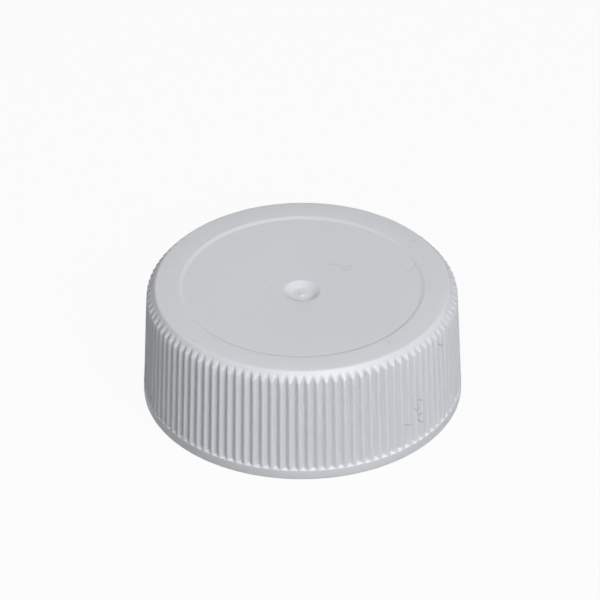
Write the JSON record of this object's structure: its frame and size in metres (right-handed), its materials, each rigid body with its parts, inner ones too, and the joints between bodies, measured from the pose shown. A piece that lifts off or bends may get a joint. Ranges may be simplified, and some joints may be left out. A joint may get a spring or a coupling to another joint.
{
  "type": "screw cap",
  "caption": "Ribbed white plastic screw cap with a rim band, a shallow recess and gate mark on its closed top, and an inside thread and sealing bead for a wide bottle neck.",
  "frame": {"origin": "centre of the open rim, in the plane that the cap stands on", "axes": "+Z along the cap's axis towards the closed top; -Y is the side that faces the viewer"},
  "size_m": [0.0412, 0.0412, 0.0162],
  "materials": {
    "white_plastic": "satin moulded polypropylene, white with a faint cool cast, lightly scuffed"
  },
  "bodies": {
    "root": {"cap": "white_plastic"}
  },
  "joints": []
}
